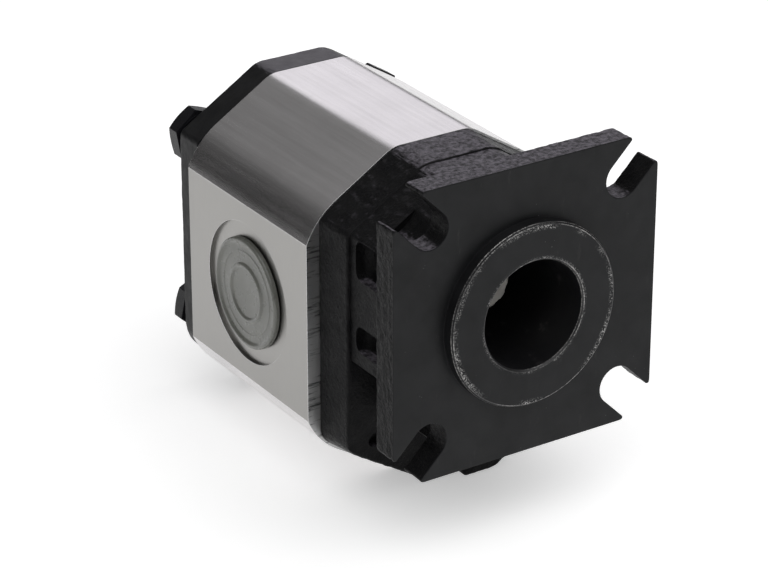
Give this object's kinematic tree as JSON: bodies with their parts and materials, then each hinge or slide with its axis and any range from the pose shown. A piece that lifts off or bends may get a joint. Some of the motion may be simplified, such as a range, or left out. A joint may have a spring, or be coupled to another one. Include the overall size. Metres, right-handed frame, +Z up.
{
  "type": "hydraulic gear pump",
  "caption": "External gear pump: square flange with open corner slots and a bored pilot, aluminium body with capped side ports, black covers, bolted rear.",
  "frame": {"origin": "centre of the footprint box, on the flat that the pump stands on", "axes": "+Z up from the lower (driven) shaft to the upper (drive) shaft, -Y out of the mounting flange along the shaft, +X to the right when the flange is seen from the front"},
  "size_m": [0.096, 0.1466, 0.1214],
  "materials": {
    "black_painted_iron": "satin black paint over cast and machined iron",
    "milled_aluminium": "drawn extrusion with milled port faces",
    "ground_steel": "ground and polished",
    "blackened_steel": "black oxide",
    "bearing_alloy": "machined",
    "sintered_bronze": "sintered bronze liner",
    "nitrile_rubber": "moulded",
    "backup_nylon": "moulded",
    "cap_plastic": "translucent grey-green moulded cap",
    "spring_steel": "phosphated spring steel"
  },
  "bodies": {
    "housing": {"front_cover": "black_painted_iron", "pump_body": "milled_aluminium", "rear_cover": "black_painted_iron", "bearing_block_front": "bearing_alloy", "bearing_block_rear": "bearing_alloy", "liner_front_drive": "sintered_bronze", "liner_front_driven": "sintered_bronze", "liner_rear_drive": "sintered_bronze", "liner_rear_driven": "sintered_bronze", "balance_seal_front": "nitrile_rubber", "balance_seal_rear": "nitrile_rubber", "backup_ring_front": "backup_nylon", "backup_ring_rear": "backup_nylon", "body_seal_front": "nitrile_rubber", "body_seal_rear": "nitrile_rubber", "shaft_seal": "nitrile_rubber", "seal_spring": "spring_steel", "seal_circlip": "spring_steel", "tie_bolt_upper_left": "blackened_steel", "tie_bolt_upper_right": "blackened_steel", "tie_bolt_lower_left": "blackened_steel", "tie_bolt_lower_right": "blackened_steel", "front_dowel_1": "ground_steel", "front_dowel_2": "ground_steel", "rear_dowel_1": "ground_steel", "rear_dowel_2": "ground_steel"},
    "drive_shaft": {"drive_gear": "ground_steel"},
    "driven_shaft": {"driven_gear": "ground_steel"},
    "left_cap": {"port_cap_left": "cap_plastic"},
    "right_cap": {"port_cap_right": "cap_plastic"}
  },
  "joints": [
    {"name": "drive_spin", "type": "hinge", "parent": "housing", "child": "drive_shaft", "pos_m": [0, 0.01875, 0.0734], "axis": [0, 1, 0], "continuous": true},
    {"name": "driven_spin", "type": "hinge", "parent": "housing", "child": "driven_shaft", "pos_m": [0, 0.01875, 0.0384], "axis": [0, 1, 0], "continuous": true},
    {"name": "left_cap_pull", "type": "slide", "parent": "housing", "child": "left_cap", "axis": [-1, 0, 0], "range_m": [0, 0.03]},
    {"name": "right_cap_pull", "type": "slide", "parent": "housing", "child": "right_cap", "axis": [1, 0, 0], "range_m": [0, 0.03]}
  ],
  "couplings": [
    {"joint": "driven_spin", "follows": "drive_spin", "ratio": -1}
  ]
}
